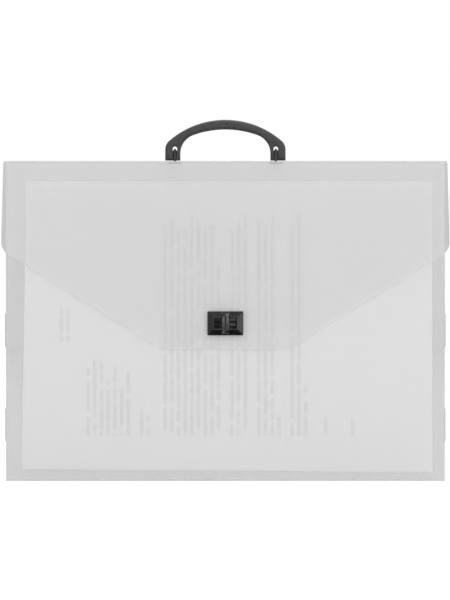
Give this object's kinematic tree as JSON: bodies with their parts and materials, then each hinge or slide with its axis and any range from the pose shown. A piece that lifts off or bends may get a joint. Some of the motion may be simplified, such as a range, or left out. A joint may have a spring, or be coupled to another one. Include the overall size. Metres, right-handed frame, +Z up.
{
  "type": "document carry case",
  "caption": "Slim translucent carry case for papers, with a fold-over flap, a black pinch lock and a black swinging handle on top.",
  "frame": {"origin": "centre of the bottom face that the case stands on", "axes": "+X to the right seen from the front, +Y from the front to the back, +Z up; the front with the flap and the lock faces -Y"},
  "size_m": [0.4582, 0.0423, 0.37],
  "materials": {
    "clear_sheet": "frosted translucent polypropylene sheet",
    "handle_plastic": "moulded charcoal plastic, satin",
    "lock_plastic": "moulded black plastic, semi-gloss",
    "pin_steel": "plain steel",
    "paper": "uncoated white paper"
  },
  "bodies": {
    "case": {"front_panel": "clear_sheet", "back_panel": "clear_sheet", "bottom_panel": "clear_sheet", "outer_wing_left": "clear_sheet", "outer_wing_right": "clear_sheet", "inner_wing_left": "clear_sheet", "inner_wing_right": "clear_sheet", "catch_base": "lock_plastic", "catch_backing_plate": "lock_plastic", "insert_sheet": "paper"},
    "lid": {"top_panel": "clear_sheet", "handle_anchor_left": "handle_plastic", "handle_anchor_right": "handle_plastic"},
    "flap": {"closing_flap": "clear_sheet", "lock_bezel": "lock_plastic", "bezel_clamp_plate": "lock_plastic"},
    "handle": {"handle_grip": "handle_plastic", "handle_pin_left": "pin_steel", "handle_pin_right": "pin_steel"},
    "left_tab": {"lock_tab_left": "lock_plastic"},
    "right_tab": {"lock_tab_right": "lock_plastic"}
  },
  "joints": [
    {"name": "lid_fold", "type": "hinge", "parent": "case", "child": "lid", "pos_m": [0, 0.0171, 0.3266], "axis": [-1, 0, 0], "range_deg": [0, 95]},
    {"name": "flap_fold", "type": "hinge", "parent": "lid", "child": "flap", "pos_m": [0, -0.0191, 0.3266], "axis": [-1, 0, 0], "range_deg": [0, 180]},
    {"name": "handle_swing", "type": "hinge", "parent": "lid", "child": "handle", "pos_m": [0, 0, 0.3361], "axis": [1, 0, 0], "range_deg": [-90, 20]},
    {"name": "left_tab_pinch", "type": "hinge", "parent": "case", "child": "left_tab", "pos_m": [-0.0023, -0.0194, 0.1612], "axis": [0, 0, 1], "range_deg": [0, 4], "stiffness_Nm_per_rad": 0.25},
    {"name": "right_tab_pinch", "type": "hinge", "parent": "case", "child": "right_tab", "pos_m": [0.0023, -0.0194, 0.1612], "axis": [0, 0, -1], "range_deg": [0, 4], "stiffness_Nm_per_rad": 0.25}
  ]
}
